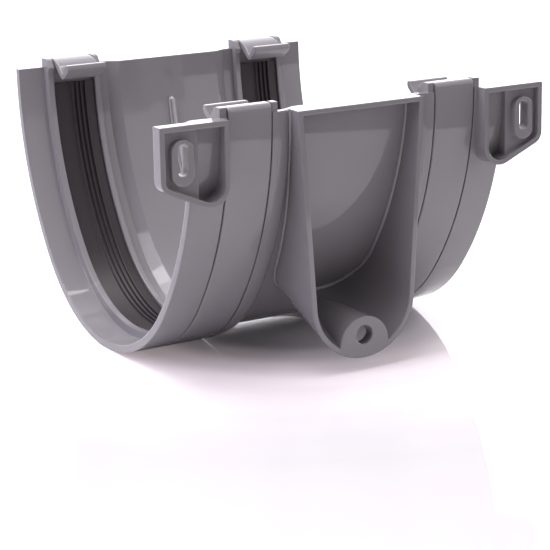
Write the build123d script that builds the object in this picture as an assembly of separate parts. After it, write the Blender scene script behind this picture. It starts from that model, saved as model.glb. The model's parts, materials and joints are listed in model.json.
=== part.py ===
from build123d import *
import math
import os

# Gutter union: joins two lengths of deep half-elliptical plastic rain gutter, end to end.
# X runs along the gutter, +Y points away from the wall, +Z up, and z = 0 is the lowest line
# of the sockets. All sizes are in millimetres.

# Gutter that fits in
GUTTER_HALF_WIDTH = 55.0
GUTTER_DEPTH = 74.7
GUTTER_BOTTOM_RADIUS = 44.5
GUTTER_CLEARANCE = 0.3

# Channel: two sockets and a narrower middle between them
WALL = 2.4
RIB_HEIGHT = 2.8
HALF_LENGTH = 53.7
OUTER_CREST_X = 20.5
INNER_CREST_X = 18.6
RAMP_SECTIONS = 2

# Guide ribs on each side of a seal
INNER_RIB_THICKNESS = 1.8
OUTER_RIB_THICKNESS = 2.0
POST_HEIGHT = 2.8
POST_OUTER_IN = 0.5
POST_CREST_IN = 3.2
POST_SHOULDER_IN = 4.3
POST_SHOULDER_HEIGHT = 2.4
POST_FOOT_IN = 6.2
POST_ROOT = 1.4

# Retaining straps, let in flush with the outside
STRAP_START_X = 28.2
STRAP_WIDTH = 14.2
STRAP_THICKNESS = 1.6
STRAP_SIDE_GAP = 0.3
STRAP_SEAT_GAP = 0.25
WEB_THICKNESS = 1.4
HOOK_CORNER_RADIUS = 1.4

# Points of a hook's upper and lower line: distance in from the outside, height over the rim
HOOK_TOP = (0, 2.7)
HOOK_UPPER_LINE = (
    HOOK_TOP, (3.6, 2.7), (6.3, 1.9), (8.3, 0.7), (10.3, -1.5), (10.9, -1.5), (12.8, 0.6),
    (13.3, 1.6))
HOOK_LOWER_LINE = (
    (15.0, 1.6), (15.2, 0.1), (14.4, -1.0), (12.2, -2.7), (11.2, -3.4), (9.9, -3.4), (7.9, -1.9),
    (6.2, -0.5), (3.8, 0.7), (STRAP_THICKNESS, 1.0), (STRAP_THICKNESS, 0))

# Rubber seals under the straps, inside the sockets
SEAL_THICKNESS = 1.2
SEAL_PAD_WIDTH = 8.2
SEAL_PAD_HEIGHT = 0.5
SEAL_PAD_ROOT = 0.2
SEAL_SIDE_GAP = 0.2
SEAL_SEAT_GAP = 0.1
SEAL_TOP_DROP = 5.5

# Stops that show how far the gutter ends go in
STOP_WIDTH = 1.8
STOP_HEIGHT = 1.3
STOP_TOP_DROP = 14.5
STOP_LENGTH = 30.0
STOP_ROOT = 0.5

# Fixing pocket, open to the wall
FASCIA_GAP = 3.5
POCKET_HALF_WIDTH = 21.7
POCKET_WALL = 1.6
POCKET_TOP_THICKNESS = 1.4
POCKET_BOTTOM_RADIUS = 17.9
POCKET_BOTTOM_RISE = 4.1
POCKET_FLOOR_SLOPE = 23.5
POCKET_DEPTH = 37.0

# Screw lug in the bottom of the pocket, with a way through behind it for the screwdriver
LUG_RADIUS = 8.4
LUG_RISE = 4.2
LUG_THICKNESS = 3.6
SCREW_HOLE_DIAMETER = 5.8
SCREW_HOLE_UP = 2.8
TUNNEL_WALL = 1.6

# Ears at both ends, with a slot for a second screw
EAR_INNER_X = 44.0
EAR_OUTER_X = 65.7
EAR_OUTER_HEIGHT = 17.8
EAR_INNER_HEIGHT = 27.1
EAR_OUTER_RADIUS = 3.9
EAR_INNER_RADIUS = 6.0
EAR_WALL = 1.5
EAR_PLATE_RECESS = 2.0
EAR_PLATE_THICKNESS = 2.0
EAR_DIVIDER_START_X = 53.1
EAR_DIVIDER_THICKNESS = 1.8
SLOT_X = 58.7
SLOT_DROP = 9.6
SLOT_WIDTH = 3.4
SLOT_HEIGHT = 9.2
BOSS_DROP = 10.4
BOSS_WIDTH = 6.8
BOSS_HEIGHT = 13.0

# Worked out from the sizes above
RIB_INNER_Y = GUTTER_HALF_WIDTH + GUTTER_CLEARANCE
RIB_INNER_DEPTH = GUTTER_DEPTH + GUTTER_CLEARANCE
SOCKET_INNER_Y = RIB_INNER_Y + RIB_HEIGHT
SOCKET_INNER_DEPTH = RIB_INNER_DEPTH + RIB_HEIGHT
SOCKET_OUTER_Y = SOCKET_INNER_Y + WALL
SOCKET_OUTER_DEPTH = SOCKET_INNER_DEPTH + WALL
SOCKET_BOTTOM_RADIUS = GUTTER_BOTTOM_RADIUS + GUTTER_CLEARANCE + RIB_HEIGHT + WALL
RIM_Z = SOCKET_OUTER_DEPTH
STRAP_END_X = STRAP_START_X + STRAP_WIDTH
RECESS_START_X = STRAP_START_X - STRAP_SIDE_GAP
RECESS_END_X = STRAP_END_X + STRAP_SIDE_GAP
INNER_RIB_X = RECESS_START_X - INNER_RIB_THICKNESS
OUTER_RIB_X = RECESS_END_X + OUTER_RIB_THICKNESS
EAR_DIVIDER_END_X = EAR_DIVIDER_START_X + EAR_DIVIDER_THICKNESS
FASCIA_Y = -SOCKET_OUTER_Y - FASCIA_GAP
POCKET_FLOOR_RISE = math.tan(math.radians(POCKET_FLOOR_SLOPE))
CUT_MARGIN = 10.0
HALF_TURN = 180

# The bowl's section is near a half ellipse: a bottom arc between two flatter side arcs, whose
# centres lie on the rim line. They meet without a corner.
BOTTOM_CENTRE_DROP = SOCKET_OUTER_DEPTH - SOCKET_BOTTOM_RADIUS
RADIUS_SHORTFALL = SOCKET_OUTER_Y - SOCKET_BOTTOM_RADIUS
SIDE_CENTRE_OFFSET = (BOTTOM_CENTRE_DROP**2 - RADIUS_SHORTFALL**2) / (2 * RADIUS_SHORTFALL)
SOCKET_SIDE_RADIUS = SOCKET_OUTER_Y + SIDE_CENTRE_OFFSET
SIDE_ARC_ANGLE = math.atan2(BOTTOM_CENTRE_DROP, SIDE_CENTRE_OFFSET)


def bowl(inset, x):
    """Section of the gutter's form at one place along it, inside the sockets' outer surface."""
    radius = SOCKET_SIDE_RADIUS - inset

    def on_side_arc(angle):
        return radius * math.cos(angle) - SIDE_CENTRE_OFFSET, -radius * math.sin(angle)

    rim, middle, joint = (on_side_arc(SIDE_ARC_ANGLE * share) for share in (0, 0.5, 1))
    far_rim, far_middle, far_joint = ((-y, z) for y, z in (rim, middle, joint))
    lowest = (0, inset - SOCKET_OUTER_DEPTH)
    outline = [
        ThreePointArc(rim, middle, joint), ThreePointArc(joint, lowest, far_joint),
        ThreePointArc(far_joint, far_middle, far_rim), Line(far_rim, rim)]
    plane = Plane(origin=(x, 0, RIM_Z), x_dir=(0, 1, 0), z_dir=(1, 0, 0))
    return plane * make_face(outline)


def trough(inset, start_x, end_x):
    """Solid bar of the bowl's form, a given distance inside the sockets' outer surface."""
    return extrude(bowl(inset, start_x), end_x - start_x, dir=(1, 0, 0))


def ramp(surface_inset, crest_x, start_x):
    """Bar that narrows along a hollow curve, from a socket's size to the middle's size."""
    sections = []
    for step in range(RAMP_SECTIONS + 1):
        share = step / RAMP_SECTIONS
        inset = surface_inset + RIB_HEIGHT * share**2
        sections.append(bowl(inset, start_x + (crest_x - start_x) * share))
    return loft(sections, ruled=True)


def socket_outside():
    """Outer form of the right socket, with the recess for the strap."""
    slope = ramp(0, OUTER_CREST_X, INNER_RIB_X)
    inner_band = trough(0, INNER_RIB_X, RECESS_START_X)
    seat = trough(STRAP_THICKNESS + STRAP_SEAT_GAP, RECESS_START_X, RECESS_END_X)
    collar = trough(0, RECESS_END_X, HALF_LENGTH)
    return slope + inner_band + seat + collar


def socket_inside():
    """Hollow of the right socket, with the guide ribs left standing."""
    web_inset = STRAP_THICKNESS + STRAP_SEAT_GAP + WEB_THICKNESS
    slope = ramp(WALL, INNER_CREST_X, INNER_RIB_X)
    ribs = trough(WALL + RIB_HEIGHT, INNER_RIB_X, OUTER_RIB_X)
    seal_bed = trough(web_inset, RECESS_START_X, RECESS_END_X)
    collar = trough(WALL, OUTER_RIB_X, HALF_LENGTH + 1)
    return slope + ribs + seal_bed + collar


def channel():
    """Open channel from end to end: both sockets and the narrower middle between them."""
    outside, inside = socket_outside(), socket_inside()
    middle = trough(RIB_HEIGHT, -OUTER_CREST_X, OUTER_CREST_X)
    hollow = trough(WALL + RIB_HEIGHT, -INNER_CREST_X, INNER_CREST_X)
    shell = outside + mirror(outside, Plane.YZ) + middle
    return shell - inside - mirror(inside, Plane.YZ) - hollow


def post(side, start_x, thickness):
    """Small wedge on the rim that keeps a strap's hook from sliding along."""
    outer = SOCKET_OUTER_Y - POST_OUTER_IN
    root = RIB_INNER_Y
    plane = Plane(origin=(start_x, 0, RIM_Z), x_dir=(0, 1, 0), z_dir=(1, 0, 0))
    points = [
        (outer, -POST_ROOT), (outer, POST_HEIGHT), (SOCKET_OUTER_Y - POST_CREST_IN, POST_HEIGHT),
        (SOCKET_OUTER_Y - POST_SHOULDER_IN, POST_SHOULDER_HEIGHT),
        (SOCKET_OUTER_Y - POST_FOOT_IN, 0), (root, -POST_ROOT)]
    outline = Polyline([(side * y, z) for y, z in points], close=True)
    return extrude(plane * make_face(outline), thickness, dir=(1, 0, 0))


def stop_rib(side):
    """Short rib at mid-length that shows how far the gutters go in."""
    band = trough(WALL + RIB_HEIGHT - STOP_ROOT, -STOP_WIDTH / 2, STOP_WIDTH / 2)
    band -= trough(WALL + RIB_HEIGHT + STOP_HEIGHT, -STOP_WIDTH, STOP_WIDTH)
    low = RIM_Z - STOP_TOP_DROP - STOP_LENGTH
    window = Pos(0, side * SOCKET_OUTER_Y / 2, low + STOP_LENGTH / 2) * Box(
        2 * STOP_WIDTH, SOCKET_OUTER_Y, STOP_LENGTH)
    return band & window


def pocket_form(inset):
    """U-shaped bar that goes through the wall's plane and rises away from the wall."""
    half_top = POCKET_HALF_WIDTH - inset
    radius = POCKET_BOTTOM_RADIUS - inset
    centre_z = POCKET_BOTTOM_RISE + POCKET_BOTTOM_RADIUS
    reach = math.hypot(half_top, RIM_Z - centre_z)
    lean = math.atan2(RIM_Z - centre_z, half_top) - math.acos(radius / reach)
    tangent = (radius * math.cos(lean), centre_z + radius * math.sin(lean))
    far_tangent = (-tangent[0], tangent[1])
    outline = [
        Line((-half_top, RIM_Z), (half_top, RIM_Z)),
        Line((half_top, RIM_Z), tangent),
        ThreePointArc(tangent, (0, centre_z - radius), far_tangent),
        Line(far_tangent, (-half_top, RIM_Z))]
    plane = Plane(origin=(0, FASCIA_Y, 0), x_dir=(1, 0, 0), z_dir=(0, -1, 0))
    course = Vector(0, 1, POCKET_FLOOR_RISE)
    return extrude(plane * make_face(outline), POCKET_DEPTH * course.length, dir=course, both=True)


def below(height):
    """Block that keeps what lies under a height, behind and before the wall's plane."""
    return Pos(0, FASCIA_Y, height - RIM_Z) * Box(
        4 * POCKET_HALF_WIDTH, 4 * POCKET_DEPTH, 2 * RIM_Z)


def behind_wall_plane():
    """Block that keeps what lies on the gutter's side of the wall's plane."""
    return Pos(0, FASCIA_Y + POCKET_DEPTH / 2, 0) * Box(
        4 * POCKET_HALF_WIDTH, POCKET_DEPTH, 4 * RIM_Z)


def lug_arch(radius):
    """Round-topped outline of the screw lug and of the tunnel behind it."""
    legs = LUG_RISE + POCKET_BOTTOM_RISE + CUT_MARGIN
    centre_z = POCKET_BOTTOM_RISE + LUG_RISE
    plane = Plane(origin=(0, FASCIA_Y, centre_z), x_dir=(1, 0, 0), z_dir=(0, -1, 0))
    outline = [
        Line((radius, -legs), (radius, 0)),
        CenterArc((0, 0), radius, 0, HALF_TURN),
        Line((-radius, 0), (-radius, -legs)),
        Line((-radius, -legs), (radius, -legs))]
    return plane * make_face(outline)


def pocket():
    """Fixing pocket with its screw lug and the screwdriver's way through its floor."""
    outside = pocket_form(0) & below(RIM_Z) & behind_wall_plane()
    shell = outside - (pocket_form(POCKET_WALL) & below(RIM_Z - POCKET_TOP_THICKNESS))
    arch_top = POCKET_BOTTOM_RISE + LUG_RISE + LUG_RADIUS
    run_out = (arch_top - TUNNEL_WALL - POCKET_BOTTOM_RISE) / POCKET_FLOOR_RISE
    hump = extrude(lug_arch(LUG_RADIUS), POCKET_DEPTH, dir=(0, 1, 0)) & outside
    way_through = Pos(0, LUG_THICKNESS, 0) * extrude(
        lug_arch(LUG_RADIUS - TUNNEL_WALL), run_out - LUG_THICKNESS, dir=(0, 1, 0))
    hole_z = POCKET_BOTTOM_RISE + LUG_RISE + SCREW_HOLE_UP
    hole = Pos(0, FASCIA_Y + LUG_THICKNESS / 2, hole_z) * Rot(90, 0, 0) * Cylinder(
        SCREW_HOLE_DIAMETER / 2, 2 * LUG_THICKNESS)
    core = trough(RIB_HEIGHT, -HALF_LENGTH, HALF_LENGTH)
    return shell + hump - way_through - hole - core


def ear_outline():
    """Outline of the right ear, seen from the wall."""
    plane = Plane(origin=(0, FASCIA_Y, RIM_Z), x_dir=(1, 0, 0), z_dir=(0, -1, 0))
    outline = make_face(Polyline(
        (EAR_INNER_X, 0), (EAR_OUTER_X, 0), (EAR_OUTER_X, -EAR_OUTER_HEIGHT),
        (EAR_INNER_X, -EAR_INNER_HEIGHT), close=True))
    low_corners = outline.vertices().sort_by(Axis.Y)[:2].sort_by(Axis.X)
    outline = fillet(low_corners[0], EAR_INNER_RADIUS)
    corner = outline.vertices().sort_by_distance((EAR_OUTER_X, -EAR_OUTER_HEIGHT))[0]
    outline = fillet(corner, EAR_OUTER_RADIUS)
    return plane, outline


def ear():
    """Right ear: a shallow cup with a recessed plate, an oval boss and a slot in it."""
    plane, outline = ear_outline()
    hollow_outline = offset(outline, -EAR_WALL, kind=Kind.INTERSECTION)
    plate_back = EAR_PLATE_RECESS + EAR_PLATE_THICKNESS
    reach = FASCIA_GAP + SOCKET_OUTER_Y / 4
    inboard = Pos(EAR_DIVIDER_END_X - CUT_MARGIN, FASCIA_Y, RIM_Z) * Box(
        2 * CUT_MARGIN, 2 * reach, 4 * EAR_INNER_HEIGHT)
    block = extrude(plane * outline, plate_back, dir=(0, 1, 0))
    block += extrude(plane * outline, reach, dir=(0, 1, 0)) & inboard
    deep = extrude(plane * hollow_outline, reach + 1, dir=(0, 1, 0))
    deep &= Pos(-EAR_DIVIDER_THICKNESS, 1, 0) * inboard
    shallow = extrude(plane * hollow_outline, EAR_PLATE_RECESS, dir=(0, 1, 0))
    cup = block - deep - shallow
    boss = Plane(
        origin=(SLOT_X, FASCIA_Y, RIM_Z - BOSS_DROP), x_dir=(0, 0, 1), z_dir=(0, -1, 0))
    slot = Plane(
        origin=(SLOT_X, FASCIA_Y, RIM_Z - SLOT_DROP), x_dir=(0, 0, 1), z_dir=(0, -1, 0))
    cup += extrude(boss * SlotOverall(BOSS_HEIGHT, BOSS_WIDTH), plate_back, dir=(0, 1, 0))
    cup -= extrude(slot * SlotOverall(SLOT_HEIGHT, SLOT_WIDTH), plate_back + 1, dir=(0, 1, 0))
    return cup - trough(STRAP_THICKNESS, 0, EAR_OUTER_X + 1)


def union_body():
    """The moulding: channel, guide ribs and posts, stops, pocket and ears in one piece."""
    right_end = ear()
    for side in (-1, 1):
        right_end += post(side, INNER_RIB_X, INNER_RIB_THICKNESS)
        right_end += post(side, RECESS_END_X, OUTER_RIB_THICKNESS)
    body = channel() + right_end + mirror(right_end, Plane.YZ) + pocket()
    for side in (-1, 1):
        body += stop_rib(side)
    return body


def hook(side, start_x, width):
    """End of a strap: over the rim, down to the gutter's edge and up to a finger lip."""
    plane = Plane(origin=(start_x, 0, RIM_Z), x_dir=(0, 1, 0), z_dir=(1, 0, 0))
    points = [(0, 0), *HOOK_UPPER_LINE, *HOOK_LOWER_LINE]
    outline = make_face(Polyline([(side * (SOCKET_OUTER_Y - y), z) for y, z in points], close=True))
    top_in, top_height = HOOK_TOP
    corner = (side * (SOCKET_OUTER_Y - top_in), top_height)
    outline = fillet(outline.vertices().sort_by_distance(corner)[0], HOOK_CORNER_RADIUS)
    return extrude(plane * outline, width, dir=(1, 0, 0))


def strap(start_x):
    """Retaining strap: a band round the outside with a snap hook at each end."""
    band = trough(0, start_x, start_x + STRAP_WIDTH) - trough(
        STRAP_THICKNESS, start_x - 1, start_x + STRAP_WIDTH + 1)
    return band + hook(-1, start_x, STRAP_WIDTH) + hook(1, start_x, STRAP_WIDTH)


def seal(start_x, end_x):
    """Rubber seal: a flat band with a raised middle that the gutter presses on."""
    bed = STRAP_THICKNESS + STRAP_SEAT_GAP + WEB_THICKNESS + SEAL_SEAT_GAP
    face = bed + SEAL_THICKNESS
    low_x = (start_x + end_x - SEAL_PAD_WIDTH) / 2
    high_x = low_x + SEAL_PAD_WIDTH
    band = trough(bed, start_x, end_x) - trough(face, start_x - 1, end_x + 1)
    pad = trough(face - SEAL_PAD_ROOT, low_x, high_x)
    pad -= trough(face + SEAL_PAD_HEIGHT, low_x - 1, high_x + 1)
    trim = Pos(0, 0, RIM_Z) * Box(4 * HALF_LENGTH, 4 * SOCKET_OUTER_Y, 2 * SEAL_TOP_DROP)
    return band + pad - trim


def main():
    os.makedirs("parts", exist_ok=True)
    seal_start = RECESS_START_X + SEAL_SIDE_GAP
    seal_end = RECESS_END_X - SEAL_SIDE_GAP
    right_strap = strap(STRAP_START_X)
    right_seal = seal(seal_start, seal_end)
    pieces = {
        "union_body": union_body(),
        "left_strap": mirror(right_strap, Plane.YZ),
        "right_strap": right_strap,
        "left_seal": mirror(right_seal, Plane.YZ),
        "right_seal": right_seal}
    # The origin lies on the floor, under the middle of the whole part.
    centre_y = (FASCIA_Y + SOCKET_OUTER_Y) / 2
    for name, piece in pieces.items():
        export_step(Pos(0, -centre_y, 0) * piece, "parts/" + name + ".step")


main()
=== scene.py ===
# %% [markdown]
# # Gutter union: a joiner for deep half-elliptical plastic rain gutter
# The real thing is injection moulded from grey PVC-U: a channel with a socket at each end, a
# pocket and two ears that bear on the wall, a snap-over strap round each socket, and a black
# rubber seal under each strap. The construction is already fixed, so this file only adds small
# forms, such as the seals' fins, and gives the object its finishes, a floor, lamps and a camera.

import json
import math

import bmesh
import bpy
from mathutils import Matrix, Vector

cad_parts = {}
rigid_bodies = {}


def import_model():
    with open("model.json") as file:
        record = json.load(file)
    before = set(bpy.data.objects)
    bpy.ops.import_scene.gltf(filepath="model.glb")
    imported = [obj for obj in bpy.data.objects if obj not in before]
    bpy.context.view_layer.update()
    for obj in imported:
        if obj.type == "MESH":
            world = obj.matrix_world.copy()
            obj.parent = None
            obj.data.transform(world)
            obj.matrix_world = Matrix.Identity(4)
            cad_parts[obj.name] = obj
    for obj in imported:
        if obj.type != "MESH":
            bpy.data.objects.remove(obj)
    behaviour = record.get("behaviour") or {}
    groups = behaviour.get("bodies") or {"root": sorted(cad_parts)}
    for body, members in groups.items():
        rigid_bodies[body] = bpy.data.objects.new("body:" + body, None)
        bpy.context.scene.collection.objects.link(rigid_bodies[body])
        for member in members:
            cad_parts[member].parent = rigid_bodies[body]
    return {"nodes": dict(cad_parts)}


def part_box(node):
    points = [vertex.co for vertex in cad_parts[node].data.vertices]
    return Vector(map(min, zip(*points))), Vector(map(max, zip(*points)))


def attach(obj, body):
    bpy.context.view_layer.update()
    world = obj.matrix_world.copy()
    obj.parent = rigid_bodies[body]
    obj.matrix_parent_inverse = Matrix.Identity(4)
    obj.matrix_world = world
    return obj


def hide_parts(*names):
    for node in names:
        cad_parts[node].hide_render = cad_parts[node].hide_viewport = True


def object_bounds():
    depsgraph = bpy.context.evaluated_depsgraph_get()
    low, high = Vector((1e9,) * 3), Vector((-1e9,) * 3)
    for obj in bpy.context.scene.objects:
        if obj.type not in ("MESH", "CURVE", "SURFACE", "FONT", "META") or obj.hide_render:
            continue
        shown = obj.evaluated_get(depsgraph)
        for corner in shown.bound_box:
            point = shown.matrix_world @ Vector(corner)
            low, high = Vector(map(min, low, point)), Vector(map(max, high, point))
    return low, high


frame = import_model()
cad_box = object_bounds()
nodes = frame["nodes"]
print("frame box, mm:", [[round(v * 1000, 1) for v in corner] for corner in cad_box])

# %% [markdown]
# ## Camera
# The photograph was taken from a little above, about 31 degrees round from the wall side, with a
# long lens. The lens was found by matching the rims and hooks, so the camera's place is given as
# a real distance and its frame is shifted a little, as a cropped photograph needs.

# %% Camera
MM = 0.001
CAMERA_PLACE = Vector((-295.1, -508.3, 172.9)) * MM
CAMERA_TURN, CAMERA_DROP, CAMERA_ROLL = math.radians(31.11), math.radians(12.65), math.radians(-1.02)
LENS_MM, FILM_MM = 123.4, 36
SHIFT = (-0.0217, -0.1408)
NEAREST, FARTHEST = 0.01, 20


def aim(turn, drop, roll):
    """Rotation of a camera that looks along a compass turn from +Y, dropped below level."""
    ahead = Vector((math.sin(turn) * math.cos(drop), math.cos(turn) * math.cos(drop), -math.sin(drop)))
    level = Vector((math.cos(turn), -math.sin(turn), 0))
    upright = level.cross(ahead)
    right = level * math.cos(roll) + upright * math.sin(roll)
    up = upright * math.cos(roll) - level * math.sin(roll)
    return Matrix((right, up, -ahead)).transposed()


lens = bpy.data.cameras.new("photo_camera")
lens.lens, lens.sensor_width = LENS_MM, FILM_MM
lens.shift_x, lens.shift_y = SHIFT
lens.clip_start, lens.clip_end = NEAREST, FARTHEST
camera = bpy.data.objects.new("photo_camera", lens)
turned = aim(CAMERA_TURN, CAMERA_DROP, CAMERA_ROLL).to_4x4()
camera.matrix_world = Matrix.Translation(CAMERA_PLACE) @ turned
bpy.context.scene.collection.objects.link(camera)
bpy.context.scene.camera = camera
print("camera is", round(CAMERA_PLACE.length, 3), "m from the origin")

# %% [markdown]
# ## Colours and nodes
# Colours are written as the hex values a designer would read off a screen. The shader works in
# linear light, so one function turns them over. One more helper adds a node and its links.

# %% Helpers for materials


def colour(hex_code):
    """sRGB hex code to linear RGBA."""
    parts = [int(hex_code[i:i + 2], 16) / 255 for i in (1, 3, 5)]
    return [c / 12.92 if c <= 0.04045 else ((c + 0.055) / 1.055) ** 2.4 for c in parts] + [1.0]


def add(tree, kind, settings=None, **inputs):
    """Adds a node. Inputs are values or sockets, under a socket's name, or i and its number."""
    node = tree.nodes.new(kind)
    for name, value in (settings or {}).items():
        setattr(node, name, value)
    for name, value in inputs.items():
        numbered = name[0] == "i" and name[1:].isdigit()
        socket = node.inputs[int(name[1:]) if numbered else name.replace("_", " ")]
        if isinstance(value, bpy.types.NodeSocket):
            tree.links.new(value, socket)
        else:
            socket.default_value = value
    return node


def start_material(name):
    """An empty material with its output node."""
    made = bpy.data.materials.new(name)
    made.use_nodes = True
    made.node_tree.nodes.clear()
    return made, made.node_tree, made.node_tree.nodes.new("ShaderNodeOutputMaterial")


print("middle grey in linear light:", round(colour("#808080")[0], 3))

# %% [markdown]
# ## Moulded PVC-U
# Gutter fittings are PVC-U, moulded in a polished steel tool. The face is glossy and a little
# wavy, because the skin cools before the core, and its grey has a very slight warm mottle from
# the pigment. Typical IOR is 1.53. The waves are 9 mm long and a few micrometres high, which only
# bends reflections, and a fine grain of 0.35 mm varies the gloss a little. A Bevel node turns the
# normals near every edge, because a moulding's edges are never sharp: it rounds the look of the
# big body without a change to its mesh. The small fillets and ribs get a paler grey, a painted
# highlight that stands for the bright lines they show.

# %% Moulded PVC-U
MOTTLE_MM, WAVE_MM, GRAIN_MM, EDGE_RADIUS_MM = 14.0, 9.0, 0.35, 0.55
WAVE_STRENGTH, WAVE_HEIGHT_MM = 0.03, 0.25
GRAIN_STRENGTH, GRAIN_HEIGHT_MM = 0.05, 0.02
PVC_ROUGHNESS, ROUGHNESS_CHANGE, PVC_IOR = 0.05, 0.015, 1.53
EDGE_SAMPLES = 6


def moulded_pvc(name, main, warm):
    made, tree, output = start_material(name)
    place = add(tree, "ShaderNodeTexCoord").outputs["Object"]
    mottle = add(tree, "ShaderNodeTexNoise", Vector=place, Scale=1 / (MOTTLE_MM * MM), Detail=2.0)
    tint = add(tree, "ShaderNodeMix", {"data_type": "RGBA"}, i0=mottle.outputs["Fac"],
               i6=colour(main), i7=colour(warm))
    wave = add(tree, "ShaderNodeTexNoise", Vector=place, Scale=1 / (WAVE_MM * MM), Detail=0.0)
    grain = add(tree, "ShaderNodeTexNoise", Vector=place, Scale=1 / (GRAIN_MM * MM), Detail=2.0)
    edge = add(tree, "ShaderNodeBevel", {"samples": EDGE_SAMPLES}, Radius=EDGE_RADIUS_MM * MM)
    wavy = add(tree, "ShaderNodeBump", Height=wave.outputs["Fac"], Strength=WAVE_STRENGTH,
               Distance=WAVE_HEIGHT_MM * MM, Normal=edge.outputs[0])
    grainy = add(tree, "ShaderNodeBump", Height=grain.outputs["Fac"], Strength=GRAIN_STRENGTH,
                 Distance=GRAIN_HEIGHT_MM * MM, Normal=wavy.outputs["Normal"])
    rough = add(tree, "ShaderNodeMapRange", Value=grain.outputs["Fac"],
                To_Min=PVC_ROUGHNESS - ROUGHNESS_CHANGE, To_Max=PVC_ROUGHNESS + ROUGHNESS_CHANGE)
    shader = add(tree, "ShaderNodeBsdfPrincipled", Base_Color=tint.outputs[2],
                 Normal=grainy.outputs["Normal"], Roughness=rough.outputs["Result"], IOR=PVC_IOR)
    tree.links.new(shader.outputs[0], output.inputs[0])
    print("finish:", name)
    return made


# The paler grey of the fillets and ribs is a painted highlight, standing for the bright lines they show.
fillet_highlight_grey = moulded_pvc("moulded PVC-U, fillets with painted highlight", "#A9A7AB", "#ADAAAC")
body_grey = moulded_pvc("moulded PVC-U, body", "#888689", "#8B888A")
strap_grey = moulded_pvc("moulded PVC-U, straps", "#89878A", "#8C898B")

# %% [markdown]
# ## Moulded rubber
# The seals are EPDM rubber: nearly black, with a brownish cast where light skims it, and a soft
# satin face with a fine bloom. Rubber scatters light broadly, so its roughness is high.

# %% Moulded rubber
BLOOM_MM, RUBBER_GRAIN_MM, RUBBER_GRAIN_HEIGHT_MM, RUBBER_GRAIN_STRENGTH = 6.0, 0.25, 0.03, 0.25
RUBBER_ROUGHNESS, RUBBER_IOR = 0.42, 1.5


def moulded_rubber(name, main, bloom):
    made, tree, output = start_material(name)
    place = add(tree, "ShaderNodeTexCoord").outputs["Object"]
    cloud = add(tree, "ShaderNodeTexNoise", Vector=place, Scale=1 / (BLOOM_MM * MM), Detail=4.0)
    tint = add(tree, "ShaderNodeMix", {"data_type": "RGBA"}, i0=cloud.outputs["Fac"],
               i6=colour(main), i7=colour(bloom))
    grain = add(tree, "ShaderNodeTexNoise", Vector=place, Scale=1 / (RUBBER_GRAIN_MM * MM), Detail=3.0)
    bump = add(tree, "ShaderNodeBump", Height=grain.outputs["Fac"], Strength=RUBBER_GRAIN_STRENGTH,
               Distance=RUBBER_GRAIN_HEIGHT_MM * MM)
    shader = add(tree, "ShaderNodeBsdfPrincipled", Base_Color=tint.outputs[2],
                 Normal=bump.outputs["Normal"], Roughness=RUBBER_ROUGHNESS, IOR=RUBBER_IOR)
    tree.links.new(shader.outputs[0], output.inputs[0])
    print("finish:", name)
    return made


seal_rubber = moulded_rubber("moulded EPDM rubber", "#272124", "#322A2C")

# %% [markdown]
# ## Straps with rounded edges
# The straps are snapped over the sockets, and their edges stand free, so they need real rounding
# that shows in the outline. Each strap's node is copied, its loose triangles are welded, flat
# neighbours are joined into one face, and a Bevel modifier rounds the edges. The left flank is set
# back a little, because the gap on that side is the wider one. The copy then stands for its node.

# %% Rounded copies of the straps
WELD = 0.001 * MM
FLAT_ANGLE, EDGE_ANGLE = math.radians(0.3), math.radians(33)
STRAP_EDGE, EDGE_SEGMENTS = 0.35 * MM, 3
EXTRA_GAP, FLANK_BAND = 0.22 * MM, 0.5 * MM


def as_plain_mesh(source, name):
    """Result of an object's modifiers, as a new object with a plain mesh."""
    graph = bpy.context.evaluated_depsgraph_get()
    mesh = bpy.data.meshes.new_from_object(source.evaluated_get(graph), depsgraph=graph)
    made = bpy.data.objects.new(name, mesh)
    bpy.context.scene.collection.objects.link(made)
    bpy.data.objects.remove(source)
    return made


def weld(mesh, join_flat_faces=False):
    """Merges doubled points and turns all faces outwards."""
    work = bmesh.new()
    work.from_mesh(mesh)
    bmesh.ops.remove_doubles(work, verts=work.verts, dist=WELD)
    bmesh.ops.recalc_face_normals(work, faces=work.faces)
    if join_flat_faces:
        bmesh.ops.dissolve_limit(work, angle_limit=FLAT_ANGLE, verts=work.verts, edges=work.edges)
    work.to_mesh(mesh)
    work.free()


def smooth_by_angle(mesh):
    mesh.polygons.foreach_set("use_smooth", [True] * len(mesh.polygons))
    mesh.set_sharp_from_angle(angle=EDGE_ANGLE)


def moulding(node_name, finish):
    """Copy of a strap's node with all its edges rounded and its left flank set back."""
    mesh = nodes[node_name].data.copy()
    weld(mesh, join_flat_faces=True)
    left_side = min(vertex.co.x for vertex in mesh.vertices)
    for vertex in mesh.vertices:
        if vertex.co.x < left_side + FLANK_BAND:
            vertex.co.x += EXTRA_GAP
    smooth_by_angle(mesh)
    rough = bpy.data.objects.new(node_name + "_rough", mesh)
    bpy.context.scene.collection.objects.link(rough)
    bevel = rough.modifiers.new("rounded edges", "BEVEL")
    bevel.limit_method, bevel.angle_limit = "ANGLE", EDGE_ANGLE
    bevel.width, bevel.segments = STRAP_EDGE, EDGE_SEGMENTS
    bevel.use_clamp_overlap, bevel.harden_normals = False, True
    made = as_plain_mesh(rough, node_name + "_moulding")
    made.data.materials.clear()
    made.data.materials.append(finish)
    print(made.name, "faces:", len(made.data.polygons))
    return made


straps = [moulding(side + "_strap", strap_grey) for side in ("left", "right")]
nodes["union_body"].data.materials.clear()
nodes["union_body"].data.materials.append(body_grey)

# %% [markdown]
# ## The bowl as a rule
# Everything that follows the gutter lies on one rule: a section of three arcs that meet without a
# corner, flat side arcs and a rounder bottom arc. A Geometry Nodes tree sweeps any flat outline
# round that rule. The outline's X is the place along the gutter, and its Y is the depth below the
# sockets' outer face, so a band, a fin or a rib is only a new outline.

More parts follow.
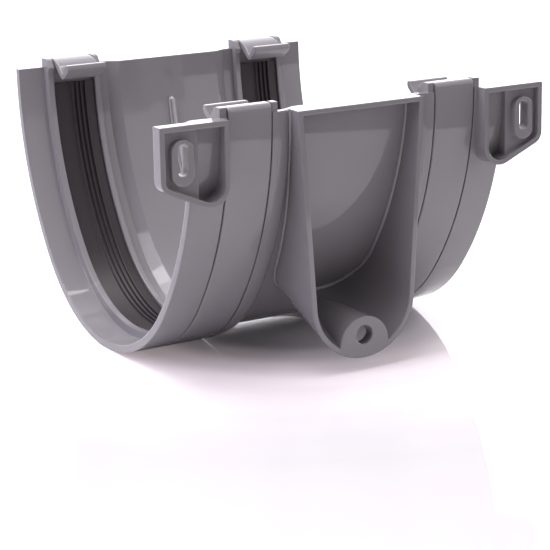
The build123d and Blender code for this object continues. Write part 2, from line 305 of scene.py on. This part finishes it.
# %% Sizes of the bowl, from the frame
strap_low, strap_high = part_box("left_strap")
BOWL_HALF_WIDTH = (strap_high.y - strap_low.y) / 2
BOWL_MIDDLE_Y = (strap_high.y + strap_low.y) / 2
RIM_HEIGHT = 80.2 * MM
BOTTOM_RADIUS = 50.0 * MM
BOTTOM_DROP = RIM_HEIGHT - BOTTOM_RADIUS
SHORTFALL = BOWL_HALF_WIDTH - BOTTOM_RADIUS
SIDE_OFFSET = (BOTTOM_DROP**2 - SHORTFALL**2) / (2 * SHORTFALL)
SIDE_RADIUS = BOWL_HALF_WIDTH + SIDE_OFFSET
JOINT_ANGLE = math.atan2(BOTTOM_DROP, SIDE_OFFSET)
print("bowl, mm: half width", round(BOWL_HALF_WIDTH / MM, 2), "side radius", round(SIDE_RADIUS / MM, 2),
      "joint at", round(math.degrees(JOINT_ANGLE), 1), "degrees")

# %% [markdown]
# The tree lays the outline along a straight rail first, then moves every point to its place on the
# bowl. Two Capture Attribute nodes remember where a point was on the outline and on the rail. The
# rule itself is a list of rows, and each row becomes one Math node.

# %% The rule, row by row
FLOAT, INTEGER = "NodeSocketFloat", "NodeSocketInt"
SWEEP_INPUTS = {
    "Side radius": (FLOAT, SIDE_RADIUS), "Side offset": (FLOAT, SIDE_OFFSET),
    "Bottom radius": (FLOAT, BOTTOM_RADIUS), "Bottom drop": (FLOAT, BOTTOM_DROP),
    "Joint angle": (FLOAT, JOINT_ANGLE), "Start angle": (FLOAT, 0.0), "End angle": (FLOAT, math.pi),
    "Middle Y": (FLOAT, BOWL_MIDDLE_Y), "Rim height": (FLOAT, RIM_HEIGHT), "Steps": (INTEGER, 120)}
BOWL_RULE = (
    ("span", "SUBTRACT", "End angle", "Start angle"),
    ("gone round", "MULTIPLY", "span", "share"),
    ("angle", "ADD", "Start angle", "gone round"),
    ("far side", "LESS_THAN", "angle", "Joint angle"),
    ("other joint", "SUBTRACT", math.pi, "Joint angle"),
    ("near side", "GREATER_THAN", "angle", "other joint"),
    ("either side", "ADD", "far side", "near side"),
    ("bottom", "SUBTRACT", 1.0, "either side"),
    ("side's radius", "MULTIPLY", "either side", "Side radius"),
    ("bottom's radius", "MULTIPLY", "bottom", "Bottom radius"),
    ("radius", "ADD", "side's radius", "bottom's radius"),
    ("reach", "SUBTRACT", "radius", "depth"),
    ("which side", "SUBTRACT", "near side", "far side"),
    ("centre y", "MULTIPLY", "which side", "Side offset"),
    ("centre low", "MULTIPLY", "bottom", "Bottom drop"),
    ("cosine", "COSINE", "angle", 0.0),
    ("across", "MULTIPLY", "reach", "cosine"),
    ("from the middle", "ADD", "centre y", "across"),
    ("y", "ADD", "from the middle", "Middle Y"),
    ("sine", "SINE", "angle", 0.0),
    ("down", "MULTIPLY", "reach", "sine"),
    ("low", "ADD", "centre low", "down"),
    ("z", "SUBTRACT", "Rim height", "low"))
print("rows in the bowl's rule:", len(BOWL_RULE))

# %% Geometry Nodes tree that sweeps an outline round the bowl


def sweep_tree():
    """Tree that lays an outline round the bowl, from one angle under the rim to another."""
    tree = bpy.data.node_groups.new("sweep round the bowl", "GeometryNodeTree")
    tree.interface.new_socket("Outline", in_out="INPUT", socket_type="NodeSocketGeometry")
    for name, (kind, value) in SWEEP_INPUTS.items():
        tree.interface.new_socket(name, in_out="INPUT", socket_type=kind).default_value = value
    tree.interface.new_socket("Material", in_out="INPUT", socket_type="NodeSocketMaterial")
    tree.interface.new_socket("Mesh", in_out="OUTPUT", socket_type="NodeSocketGeometry")
    given = tree.nodes.new("NodeGroupInput").outputs

    straight = add(tree, "GeometryNodeCurvePrimitiveLine", End=(0, 0, 1)).outputs[0]
    rail = add(tree, "GeometryNodeResampleCurve", Curve=straight, Count=given["Steps"]).outputs[0]
    position = tree.nodes.new("GeometryNodeInputPosition").outputs[0]
    kept = []
    for geometry in (given["Outline"], rail):
        node = add(tree, "GeometryNodeCaptureAttribute")
        node.capture_items.new("VECTOR", "kept")
        tree.links.new(geometry, node.inputs[0])
        tree.links.new(position, node.inputs[1])
        kept.append(node.outputs)
    outline, rail = kept
    swept = add(tree, "GeometryNodeCurveToMesh", Curve=rail[0], Profile_Curve=outline[0], Fill_Caps=True)

    place = add(tree, "ShaderNodeSeparateXYZ", Vector=outline[1]).outputs
    values = {name: given[name] for name in SWEEP_INPUTS}
    values["depth"] = place["Y"]
    values["share"] = add(tree, "ShaderNodeSeparateXYZ", Vector=rail[1]).outputs["Z"]
    for name, operation, first, second in BOWL_RULE:
        node = add(tree, "ShaderNodeMath", {"operation": operation, "label": name},
                   i0=values.get(first, first), i1=values.get(second, second))
        values[name] = node.outputs[0]
    bent = add(tree, "ShaderNodeCombineXYZ", X=place["X"], Y=values["y"], Z=values["z"])
    moved = add(tree, "GeometryNodeSetPosition", Geometry=swept.outputs[0], Position=bent.outputs[0])
    real = add(tree, "GeometryNodeRealizeInstances", Geometry=moved.outputs[0])
    finished = add(tree, "GeometryNodeSetMaterial", Geometry=real.outputs[0], Material=given["Material"])
    tree.links.new(finished.outputs[0], tree.nodes.new("NodeGroupOutput").inputs[0])
    return tree


SWEEP = sweep_tree()
print("sweep tree nodes:", len(SWEEP.nodes))

# %% Sweep of an outline


def sweep(name, outline, finish, start_angle, end_angle):
    """Sweeps an outline of (place along, depth) points round the bowl."""
    curve = bpy.data.curves.new(name, "CURVE")
    curve.dimensions = "3D"
    line = curve.splines.new("POLY")
    line.points.add(len(outline) - 1)
    line.use_cyclic_u = True
    for point, (x, depth) in zip(line.points, outline):
        point.co = (x, depth, 0, 1)
    rough = bpy.data.objects.new(name + "_outline", curve)
    bpy.context.scene.collection.objects.link(rough)
    modifier = rough.modifiers.new("sweep", "NODES")
    modifier.node_group = SWEEP
    inputs = {"Start angle": start_angle, "End angle": end_angle, "Material": finish}
    for item in SWEEP.interface.items_tree:
        if item.in_out == "INPUT" and item.name in inputs:
            modifier[item.identifier] = inputs[item.name]
    made = as_plain_mesh(rough, name)
    weld(made.data)
    smooth_by_angle(made.data)
    print(made.name, "faces:", len(made.data.polygons))
    return made


# %% [markdown]
# ## Rubber seals
# Each seal is a flat moulded strip with four thin fins along it, which fold against the gutter and
# keep the water in. The fins lie off the strip's middle. The strip and its fins are one outline
# with rounded corners, swept round the bowl.

# %% Rubber seals
FIN_COUNT, FIN_PITCH, FIN_HEIGHT, FIN_ROOT, FIN_TIP = 4, 1.6 * MM, 0.9 * MM, 0.7 * MM, 0.35 * MM
FIN_SHIFT = 1.2 * MM
STRIP_THICKNESS, STRIP_DEPTH = 1.2 * MM, 3.35 * MM
SEAL_CORNER, CORNER_STEPS, MOST_OF_A_SIDE = 0.25 * MM, 4, 0.45


def rounded(points, radius):
    """Closed outline with each corner cut by a short curve, as a cutter of that radius leaves it."""
    result = []
    for index, corner in enumerate(points):
        before, after = Vector(points[index - 1]), Vector(points[(index + 1) % len(points)])
        corner = Vector(corner)
        back, forth = before - corner, after - corner
        start = corner + back.normalized() * min(radius, back.length * MOST_OF_A_SIDE)
        end = corner + forth.normalized() * min(radius, forth.length * MOST_OF_A_SIDE)
        for step in range(CORNER_STEPS + 1):
            share = step / CORNER_STEPS
            result.append((1 - share)**2 * start + 2 * share * (1 - share) * corner + share**2 * end)
    return result


def seal_outline(low_x, high_x):
    """Strip with a row of fins on its inner face."""
    face = STRIP_DEPTH + STRIP_THICKNESS
    points = [(low_x, STRIP_DEPTH), (high_x, STRIP_DEPTH), (high_x, face)]
    middle = (low_x + high_x) / 2 + FIN_SHIFT
    for number in reversed(range(FIN_COUNT)):
        x = middle + (number - (FIN_COUNT - 1) / 2) * FIN_PITCH
        points += [(x + FIN_ROOT / 2, face), (x + FIN_TIP / 2, face + FIN_HEIGHT),
                   (x - FIN_TIP / 2, face + FIN_HEIGHT), (x - FIN_ROOT / 2, face)]
    return points + [(low_x, face)]


seals = []
for side in ("left", "right"):
    low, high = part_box(side + "_seal")
    top_angle = math.asin((RIM_HEIGHT - high.z) / (SIDE_RADIUS - STRIP_DEPTH))
    outline = rounded(seal_outline(low.x, high.x), SEAL_CORNER)
    seals.append(sweep(side + "_seal_strip", outline, seal_rubber, top_angle, math.pi - top_angle))

# %% [markdown]
# ## Shoulders of the sockets
# Where each socket begins, the channel's outside swells by 2.8 mm in a smooth convex shoulder that
# ends in a narrow hollow. The construction has the swelling, and this piece gives it its curve.
# It is one more outline for the sweep, sunk a little into the skin so that no gap shows.

# %% Shoulders
SHOULDER_FOOT, SHOULDER_TOP, SHOULDER_RISE = 20.7 * MM, 26.1 * MM, 2.8 * MM
HOLLOW, UNDER_SKIN, SHOULDER_SINK = 0.6 * MM, 0.005 * MM, 0.3 * MM
SWELL_STEPS, HOLLOW_STEPS = 16, 6
SHOULDER_START_ANGLE = 0.001


def shoulder_outline(sign):
    """Quarter of an ellipse with a small hollow at its foot, closed under the moulding's skin."""
    points = []
    for step in range(SWELL_STEPS + 1):
        turn = math.pi / 2 * step / SWELL_STEPS
        along = SHOULDER_TOP - (SHOULDER_TOP - SHOULDER_FOOT - HOLLOW) * math.sin(turn)
        points.append((along, (SHOULDER_RISE - HOLLOW) * (1 - math.cos(turn)) + UNDER_SKIN))
    for step in range(1, HOLLOW_STEPS + 1):
        turn = math.pi / 2 * step / HOLLOW_STEPS
        along = SHOULDER_FOOT + HOLLOW * (1 - math.sin(turn))
        points.append((along, SHOULDER_RISE - HOLLOW * math.cos(turn)))
    sunk = SHOULDER_RISE + SHOULDER_SINK
    points += [(SHOULDER_FOOT, sunk), (SHOULDER_TOP, sunk)]
    return [(sign * x, depth) for x, depth in points]


shoulders = []
for side, sign in (("left", -1), ("right", 1)):
    shoulders.append(sweep(side + "_socket_shoulder", shoulder_outline(sign), body_grey,
                           SHOULDER_START_ANGLE, math.pi - SHOULDER_START_ANGLE))

# %% [markdown]
# ## Stops, and the creases of the pocket
# The stops, which tell how far a gutter goes in, are ribs with rounded ends. The corners where the
# pocket meets the bowl, inside and outside, are small fillets, and each shows as a bright line,
# which their paler grey paints as a highlight.
# All are lofts: rings of points, joined in order. The rings come from the bowl's rule and from the
# pocket's, a half round with leaning sides that rises as it goes away from the wall.

# %% Lofts


def bowl_point(x, depth, angle):
    """A place on the bowl, by the same rule as the sweep tree. The angle starts at the far rim."""
    side = (angle > math.pi - JOINT_ANGLE) - (angle < JOINT_ANGLE)
    reach = (SIDE_RADIUS if side else BOTTOM_RADIUS) - depth
    centre_low = 0 if side else BOTTOM_DROP
    return Vector((x, BOWL_MIDDLE_Y + side * SIDE_OFFSET + reach * math.cos(angle),
                   RIM_HEIGHT - centre_low - reach * math.sin(angle)))


def loft(name, rings, finish):
    """Joins rings of points in order and closes both ends."""
    count = len(rings[0])
    last = count * (len(rings) - 1)
    faces = [tuple(range(count)), tuple(range(last + count - 1, last - 1, -1))]
    for ring in range(len(rings) - 1):
        for point in range(count):
            start = ring * count + point
            after = ring * count + (point + 1) % count
            faces.append((start, start + count, after + count, after))
    mesh = bpy.data.meshes.new(name)
    mesh.from_pydata([tuple(p) for ring in rings for p in ring], [], faces)
    made = bpy.data.objects.new(name, mesh)
    bpy.context.scene.collection.objects.link(made)
    weld(mesh)
    smooth_by_angle(mesh)
    mesh.materials.append(finish)
    print(name, "faces:", len(mesh.polygons))
    return made


print("lowest place of the bowl, mm:", round(bowl_point(0, 0, math.pi / 2).z / MM, 3))

# %% Stops
STOP_ROOT_DEPTH, STOP_TALL, STOP_WIDE = 5.1 * MM, 1.6 * MM, 2.3 * MM
STOP_TOP, STOP_LOW, STOP_ROUNDING = 66.4 * MM, 35.2 * MM, 1.3 * MM
STOP_NARROWING, STOP_SQUARENESS, STOP_LEAST = 0.25, 0.6, 0.02
STOP_STEPS, STOP_RING_STEPS = 60, 10


def stop_rings(far_side):
    """Half rings from the top end of a stop to its low end, smaller near both ends."""
    rings = []
    for step in range(STOP_STEPS + 1):
        height = STOP_TOP + (STOP_LOW - STOP_TOP) * (1 - math.cos(math.pi * step / STOP_STEPS)) / 2
        near_end = min(STOP_TOP - height, height - STOP_LOW, STOP_ROUNDING) / STOP_ROUNDING
        full = math.sqrt(max(1 - (1 - near_end)**2, STOP_LEAST**2))
        angle = math.asin((RIM_HEIGHT - height) / (SIDE_RADIUS - STOP_ROOT_DEPTH))
        ring = []
        for number in range(STOP_RING_STEPS + 1):
            turn = math.pi * number / STOP_RING_STEPS
            x = -math.cos(turn) * STOP_WIDE / 2 * full * (1 - STOP_NARROWING * math.sin(turn))
            depth = STOP_ROOT_DEPTH + STOP_TALL * full * math.sin(turn)**STOP_SQUARENESS
            ring.append(bowl_point(x, depth, angle if far_side else math.pi - angle))
        rings.append(ring)
    return rings


# The stops' paler grey is a painted highlight.
stops = [loft("near_stop", stop_rings(far_side=False), fillet_highlight_grey),
         loft("far_stop", stop_rings(far_side=True), fillet_highlight_grey)]

# %% The pocket's rule
WALL_PLANE_Y = cad_box[0].y
POCKET_HALF, POCKET_ROUND, POCKET_CENTRE = 21.7 * MM, 17.9 * MM, 22.0 * MM
POCKET_WALL, POCKET_REACH = 1.6 * MM, 37 * MM
POCKET_LEAN, POCKET_RISE = math.radians(-3.7), math.tan(math.radians(23.5))
CHANNEL_DEPTH, SHOULDER_DEPTH = 2.8 * MM, 1.4 * MM
SHOULDER_STARTS, SHOULDER_STANDS = 20.4 * MM, 21.7 * MM
SIDE_STEPS, ARC_STEPS, HALVINGS = 24, 40, 40


def pocket_profile(inset):
    """Half round with two leaning sides, from the right rim to the left one, as (x, z)."""
    top, radius = POCKET_HALF - inset, POCKET_ROUND - inset
    foot_x, foot_z = radius * math.cos(POCKET_LEAN), POCKET_CENTRE + radius * math.sin(POCKET_LEAN)
    side, arc = [], []
    for step in range(SIDE_STEPS):
        share = step / SIDE_STEPS
        side.append((top + (foot_x - top) * share, RIM_HEIGHT + (foot_z - RIM_HEIGHT) * share))
    for step in range(ARC_STEPS + 1):
        turn = POCKET_LEAN - (math.pi + 2 * POCKET_LEAN) * step / ARC_STEPS
        arc.append((radius * math.cos(turn), POCKET_CENTRE + radius * math.sin(turn)))
    return side + arc + [(-x, z) for x, z in reversed(side)]


def shoulder_share(x):
    """0 on the channel, 1 where the shoulder stands up beside the pocket."""
    return min(max((abs(x) - SHOULDER_STARTS) / (SHOULDER_STANDS - SHOULDER_STARTS), 0), 1)


def meets_bowl(x, z):
    """Where a line of the pocket's floor or side, which rises away from the wall, meets the bowl."""
    low, high = 0.0, POCKET_REACH
    depth = CHANNEL_DEPTH + (SHOULDER_DEPTH - CHANNEL_DEPTH) * shoulder_share(x)
    for _ in range(HALVINGS):
        way = (low + high) / 2
        y, height = WALL_PLANE_Y + way, z + POCKET_RISE * way
        angle = math.atan2(RIM_HEIGHT - height, BOWL_MIDDLE_Y + SIDE_OFFSET - y)
        centre_y, centre_z, radius = BOWL_MIDDLE_Y + SIDE_OFFSET, RIM_HEIGHT, SIDE_RADIUS
        if angle >= JOINT_ANGLE:
            centre_y, centre_z, radius = BOWL_MIDDLE_Y, RIM_HEIGHT - BOTTOM_DROP, BOTTOM_RADIUS
        outside = math.hypot(y - centre_y, height - centre_z) - radius + depth > 0
        low, high = (way, high) if outside else (low, way)
    out = Vector((0, y - centre_y, height - centre_z)).normalized()
    leaning = Vector((-math.copysign(shoulder_share(x), x), 0, 0))
    return Vector((x, y, height)), (out + leaning).normalized()


print("pocket meets the bowl at the bottom, mm:",
      [round(v / MM, 1) for v in meets_bowl(0, POCKET_CENTRE - POCKET_ROUND)[0]])

# %% Creases of the pocket
INNER_FILLET, OUTER_FILLET = 0.7 * MM, 0.6 * MM
INNER_STOPS_BELOW_RIM, OUTER_STOPS_BELOW_RIM = 1.5 * MM, 0.1 * MM
FILLET_STEPS, FILLET_SINK = 6, 0.2 * MM


def crease_rings(inset, fillet, facing, below_rim):
    """Fillet between the bowl and the pocket's inside, facing 1, or its outside, facing -1."""
    profile, rings = pocket_profile(inset), []
    for index in range(1, len(profile) - 1):
        (x, z), (x0, z0), (x1, z1) = profile[index], profile[index - 1], profile[index + 1]
        corner, out = meets_bowl(x, z)
        if corner.z > RIM_HEIGHT - below_rim:
            continue
        inward = Vector((x1 - x0, 0, z1 - z0)).cross(Vector((0, 1, POCKET_RISE))).normalized()
        if inward.dot(Vector((-x, 0, POCKET_CENTRE - z))) * facing <= 0:
            inward = -inward
        middle = corner + fillet * (out + inward) / (1 + out.dot(inward))
        ring = []
        for step in range(FILLET_STEPS + 1):
            share = step / FILLET_STEPS
            ring.append(middle - fillet * (out * (1 - share) + inward * share).normalized())
        rings.append(ring + [corner - FILLET_SINK * (out + inward).normalized()])
    return rings


inner_rings = crease_rings(POCKET_WALL, INNER_FILLET, 1, INNER_STOPS_BELOW_RIM)
outer_rings = crease_rings(0, OUTER_FILLET, -1, OUTER_STOPS_BELOW_RIM)
# The creases' paler grey is a painted highlight along the pocket's fillets.
creases = [loft("pocket_inner_crease", inner_rings, fillet_highlight_grey),
           loft("pocket_outer_crease", outer_rings, fillet_highlight_grey)]

# %% [markdown]
# ## Pieces and the frame
# The straps and seals made here stand for the frame's own, so those are no longer shown. The
# shoulders, stops and creases only add to the body. Nothing moves, so all ride on the root.

# %% Pieces take the place of their nodes
STANDS_FOR = {
    "left_strap": (straps[0], "grey_pvc_strap"), "right_strap": (straps[1], "grey_pvc_strap"),
    "left_seal": (seals[0], "black_rubber"), "right_seal": (seals[1], "black_rubber")}
for node_name, (piece, slot) in STANDS_FOR.items():
    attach(piece, "root")
    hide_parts(node_name)
additions = shoulders + stops + creases
for piece in additions:
    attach(piece, "root")
print("pieces that replace a node:", len(STANDS_FOR), "and that add to the body:", len(additions))

# %% [markdown]
# ## Floor
# The product stands on a glossy white acrylic sheet that mirrors it. Round the object's foot the
# sheet has painted light: a ring of glow, seen only by the camera, that lightens the sheet round
# the shade at the foot. Further out its white turns a little greyer, painted shade for the light
# falling off, so that the mirror image stays visible. Past a line 240 mm away at the front right,
# reflected rays see a dim grey glow in place of the sheet: a painted dark reflection, which makes
# the level edge across the tops of the object's faces.

# %% Floor
FLOOR_HALF = 6.0
# The line at the front right past which reflected rays see a dim grey glow in place of the sheet: a
# painted dark reflection.
DARK_REFLECTION_SIDE, DARK_REFLECTION_REACH = (0.66, -0.75, 0), 0.24
# The sheet's white turns greyer from 88 mm to 136 mm out from the object: painted shade, a painted
# falloff of the light.
NEAR_WHITE, PAINTED_FALLOFF_GREY, PAINTED_FALLOFF_FROM, PAINTED_FALLOFF_TO = "#F4F0F2", "#DCD9DA", 0.55, 0.85
# The last colour here is the grey of that painted dark reflection.
SHEET_ROUGHNESS, SHEET_IOR, PAINTED_DARK_REFLECTION = 0.03, 1.5, "#3A383B"
# Painted light: a ring of glow for camera rays only, nothing at the foot, strongest about 70 mm out,
# gone by 122 mm.
PAINTED_LIGHT_TINT, GLOW_MIDDLE_X, GLOW_REACH = "#FFEEF3", 0.015, 0.16
PAINTED_LIGHT_RING = ((0.22, 0.0), (0.28, 0.09), (0.36, 0.24), (0.44, 0.38),
        (0.5, 0.27), (0.58, 0.19), (0.66, 0.07), (0.76, 0.0))

corners = [(x * FLOOR_HALF, y * FLOOR_HALF, 0) for x, y in ((-1, -1), (1, -1), (1, 1), (-1, 1))]
floor = bpy.data.objects.new("floor", bpy.data.meshes.new("floor"))
floor.data.from_pydata(corners, [], [(0, 1, 2, 3)])
bpy.context.scene.collection.objects.link(floor)

acrylic, tree, output = start_material("white acrylic sheet")
seen = add(tree, "ShaderNodeLightPath").outputs
place = add(tree, "ShaderNodeTexCoord").outputs["Object"]
from_middle = add(tree, "ShaderNodeMapping", Vector=place, Location=(-GLOW_MIDDLE_X, 0, 0),
                  Scale=(1, 1, 0))
distance = add(tree, "ShaderNodeVectorMath", {"operation": "LENGTH"}, i0=from_middle.outputs[0])
share = add(tree, "ShaderNodeMath", {"operation": "DIVIDE"}, i0=distance.outputs["Value"],
            i1=GLOW_REACH).outputs[0]
# Painted shade: the sheet's white greys with distance from the object.
painted_falloff_share = add(tree, "ShaderNodeMapRange", Value=share, From_Min=PAINTED_FALLOFF_FROM, From_Max=PAINTED_FALLOFF_TO)
sheet_white = add(tree, "ShaderNodeMix", {"data_type": "RGBA"}, i0=painted_falloff_share.outputs["Result"],
                  i6=colour(NEAR_WHITE), i7=colour(PAINTED_FALLOFF_GREY))
sheet = add(tree, "ShaderNodeBsdfPrincipled", Base_Color=sheet_white.outputs[2],
            Roughness=SHEET_ROUGHNESS, IOR=SHEET_IOR)
# Painted light: the ring's strength by distance from the object, seen by camera rays only.
ramp = add(tree, "ShaderNodeValToRGB", Fac=share)
ramp.color_ramp.interpolation = "EASE"
ramp.color_ramp.elements[1].color = (0, 0, 0, 1)
for at, strength in PAINTED_LIGHT_RING:
    ramp.color_ramp.elements.new(at).color = (strength, strength, strength, 1)
painted_light_strength = add(tree, "ShaderNodeMath", {"operation": "MULTIPLY"}, i0=seen["Is Camera Ray"],
                i1=ramp.outputs[0])
glow = add(tree, "ShaderNodeEmission", Color=colour(PAINTED_LIGHT_TINT), Strength=painted_light_strength.outputs[0])
both = add(tree, "ShaderNodeAddShader", i0=sheet.outputs[0], i1=glow.outputs[0])

# Painted reflection: past the line at the front right, reflected rays see a dim grey glow, not the
# sheet.
forward = add(tree, "ShaderNodeVectorMath", {"operation": "DOT_PRODUCT"}, i0=place, i1=DARK_REFLECTION_SIDE)
past_dark_reflection_line = add(tree, "ShaderNodeMath", {"operation": "GREATER_THAN"}, i0=forward.outputs["Value"],
                i1=DARK_REFLECTION_REACH)
dark = add(tree, "ShaderNodeMath", {"operation": "MULTIPLY"}, i0=past_dark_reflection_line.outputs[0],
           i1=seen["Is Glossy Ray"])
painted_dark_glow = add(tree, "ShaderNodeEmission", Color=colour(PAINTED_DARK_REFLECTION), Strength=1.0)
lit = add(tree, "ShaderNodeMixShader", i0=dark.outputs[0], i1=both.outputs[0], i2=painted_dark_glow.outputs[0])
tree.links.new(lit.outputs[0], output.inputs[0])
floor.data.materials.append(acrylic)
print("glow stops on the sheet:", len(PAINTED_LIGHT_RING), "out to, mm:", round(PAINTED_LIGHT_RING[-1][0] * GLOW_REACH / MM))

# %% [markdown]
# ## Light
# In the studio the brightest part is the white backdrop behind the object, with a weaker one at
# the right, so the world has a wide bright lobe on each of those two sides. A softbox above lights
# the top faces, and two smaller ones at the left, one low and one high, light the ends of the ears
# and the inside of the bowl, with a faint lavender tint.

# %% World
BACKDROPS = {"back": ((0.515, 0.857, 0), 3.3), "right": ((0.857, -0.515, 0), 1.65)}
LOBE_POWER, BACKDROP_TINT = 2.0, "#F7F4FA"
world = bpy.data.worlds.new("white studio")
bpy.context.scene.world = world
world.use_nodes = True
tree = world.node_tree
tree.nodes.clear()
ray = add(tree, "ShaderNodeLightPath")
direction = add(tree, "ShaderNodeTexCoord").outputs["Generated"]
total = 0.0
for axis, strength in BACKDROPS.values():
    facing = add(tree, "ShaderNodeVectorMath", {"operation": "DOT_PRODUCT"}, i0=direction, i1=axis)
    part = add(tree, "ShaderNodeMath", {"operation": "MAXIMUM"}, i0=facing.outputs["Value"], i1=0.0)
    part = add(tree, "ShaderNodeMath", {"operation": "POWER"}, i0=part.outputs[0], i1=LOBE_POWER)
    total = add(tree, "ShaderNodeMath", {"operation": "MULTIPLY_ADD"}, i0=part.outputs[0], i1=strength,
                i2=total).outputs[0]
studio = add(tree, "ShaderNodeBackground", Color=colour(BACKDROP_TINT), Strength=total)
white = add(tree, "ShaderNodeBackground", Color=colour("#FFFFFF"), Strength=1.0)
mix = add(tree, "ShaderNodeMixShader", i0=ray.outputs["Is Camera Ray"], i1=studio.outputs[0],
          i2=white.outputs[0])
world_output = tree.nodes.new("ShaderNodeOutputWorld")
tree.links.new(mix.outputs[0], world_output.inputs[0])
print("bright sides of the studio:", list(BACKDROPS))

# %% Lamps
OBJECT_MIDDLE = (cad_box[0] + cad_box[1]) / 2
SOFTBOXES = {
    "top_softbox": ((-0.12, 0.15, 0.9), (0.7, 0.8), 8.6, "#FFFFFF"),
    "left_softbox": ((-0.75, 0.05, 0.4), (0.6, 0.6), 3.5, "#E9E6FF"),
    "high_softbox": ((-0.5, -0.15, 0.95), (0.6, 0.6), 3.4, "#FFF4FF")}


def softbox(name, place, size, watts, tint):
    """A rectangular area lamp that faces the object."""
    lamp = bpy.data.lights.new(name, "AREA")
    lamp.shape, (lamp.size, lamp.size_y) = "RECTANGLE", size
    lamp.energy = watts
    lamp.color = colour(tint)[:3]
    made = bpy.data.objects.new(name, lamp)
    made.location = place
    made.rotation_euler = (OBJECT_MIDDLE - Vector(place)).to_track_quat("-Z", "Y").to_euler()
    bpy.context.scene.collection.objects.link(made)


for name, settings in SOFTBOXES.items():
    softbox(name, *settings)
print("lamps:", list(SOFTBOXES))

# %% Look of the picture
bpy.context.scene.view_settings.view_transform = "Standard"
print("view transform:", bpy.context.scene.view_settings.view_transform)
